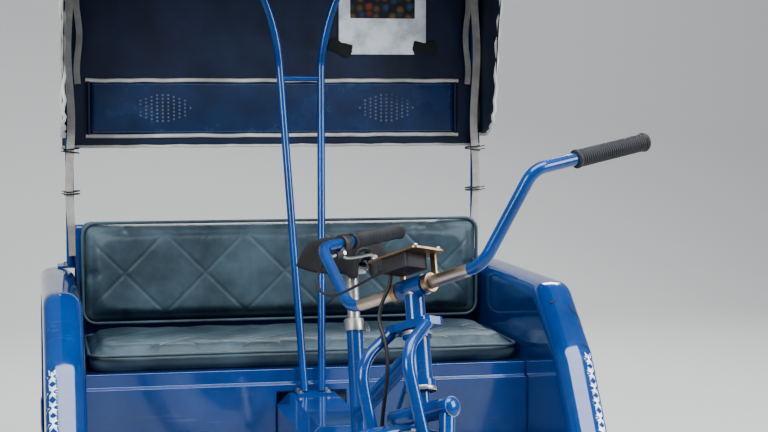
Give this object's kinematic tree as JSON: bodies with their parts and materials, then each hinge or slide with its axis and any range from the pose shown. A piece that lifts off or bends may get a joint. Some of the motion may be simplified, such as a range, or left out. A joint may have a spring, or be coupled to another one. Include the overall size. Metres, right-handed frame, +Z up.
{
  "type": "cycle rickshaw",
  "caption": "Three-wheeled cycle rickshaw with a rider's saddle in front, a moulded two-seat bench body and a canopy, steered by one turned front wheel with a hub motor.",
  "frame": {"origin": "on the ground at the middle of the bounding box", "axes": "+Z up, -Y towards the front wheel, +X to the rider's left"},
  "size_m": [1.28, 2.3362, 1.8859],
  "materials": {
    "blue_moulding": "glossy",
    "blue_paint": "glossy",
    "navy_vinyl": "satin",
    "seat_vinyl": "satin",
    "saddle_cover": "satin",
    "grip_rubber": "matte",
    "tyre": "matte",
    "wheel_metal": "satin",
    "bright_steel": "satin",
    "dark_metal": "matte",
    "case_plastic": "matte",
    "lamp_red": "glossy",
    "white_board": "matte"
  },
  "bodies": {
    "root": {"rear_axle": "bright_steel", "drive_drum": "dark_metal", "chain": "bright_steel", "frame_rails": "blue_paint", "frame_crossbars": "blue_paint", "seat_tube": "blue_paint", "frame_spine": "blue_paint", "head_tube": "blue_paint", "down_tube": "blue_paint", "top_tube": "blue_paint", "seat_post": "bright_steel", "saddle": "saddle_cover", "floor_pan": "blue_moulding", "seat_box": "blue_moulding", "rear_panel": "blue_moulding", "fender_left": "blue_moulding", "fender_right": "blue_moulding", "seat_cushion": "seat_vinyl", "back_cushion": "seat_vinyl", "battery_block": "case_plastic", "canopy_rear_hoop": "blue_paint", "canopy_rails": "blue_paint", "canopy_bows": "blue_paint", "canopy_roof": "navy_vinyl", "canopy_back": "navy_vinyl", "canopy_side_left": "navy_vinyl", "canopy_side_right": "navy_vinyl", "notice_board": "white_board", "front_post_left": "blue_paint", "front_post_right": "blue_paint", "post_crossbar": "blue_paint", "plate_holder": "blue_paint", "tail_lamps": "lamp_red"},
    "steering": {"fork": "blue_paint", "fork_bows": "blue_paint", "front_axle": "bright_steel", "front_fender": "blue_paint", "stem": "blue_paint", "handlebar": "blue_paint", "grips": "grip_rubber", "brake_lever": "bright_steel", "console_bracket": "dark_metal", "controller_case": "case_plastic", "control_cables": "grip_rubber"},
    "front_wheel_set": {"front_tyre": "tyre", "front_wheel": "wheel_metal"},
    "rear_wheel_set_left": {"rear_tyre_left": "tyre", "rear_wheel_left": "wheel_metal"},
    "rear_wheel_set_right": {"rear_tyre_right": "tyre", "rear_wheel_right": "wheel_metal"},
    "crank": {"crankset": "bright_steel"},
    "pedal_left_set": {"pedal_left": "grip_rubber"},
    "pedal_right_set": {"pedal_right": "grip_rubber"}
  },
  "joints": [
    {"name": "steering", "type": "hinge", "parent": "root", "child": "steering", "pos_m": [0, -0.73237, 0.88], "axis": [0, 0.342, 0.9397], "range_deg": [-15, 135]},
    {"name": "front_wheel_spin", "type": "hinge", "parent": "steering", "child": "front_wheel_set", "pos_m": [-0.0433, -0.96281, 0.31997], "axis": [0.5, -0.8138, 0.2962], "continuous": true},
    {"name": "rear_left_spin", "type": "hinge", "parent": "root", "child": "rear_wheel_set_left", "pos_m": [0.594, 0.74763, 0.335], "axis": [1, 0, 0], "continuous": true},
    {"name": "rear_right_spin", "type": "hinge", "parent": "root", "child": "rear_wheel_set_right", "pos_m": [-0.594, 0.74763, 0.335], "axis": [1, 0, 0], "continuous": true},
    {"name": "crank_spin", "type": "hinge", "parent": "root", "child": "crank", "pos_m": [0, -0.28237, 0.29], "axis": [1, 0, 0], "continuous": true},
    {"name": "pedal_left_spin", "type": "hinge", "parent": "crank", "child": "pedal_left_set", "pos_m": [0.128, -0.14721, 0.19536], "axis": [1, 0, 0], "continuous": true},
    {"name": "pedal_right_spin", "type": "hinge", "parent": "crank", "child": "pedal_right_set", "pos_m": [-0.128, -0.41753, 0.38464], "axis": [1, 0, 0], "continuous": true}
  ]
}
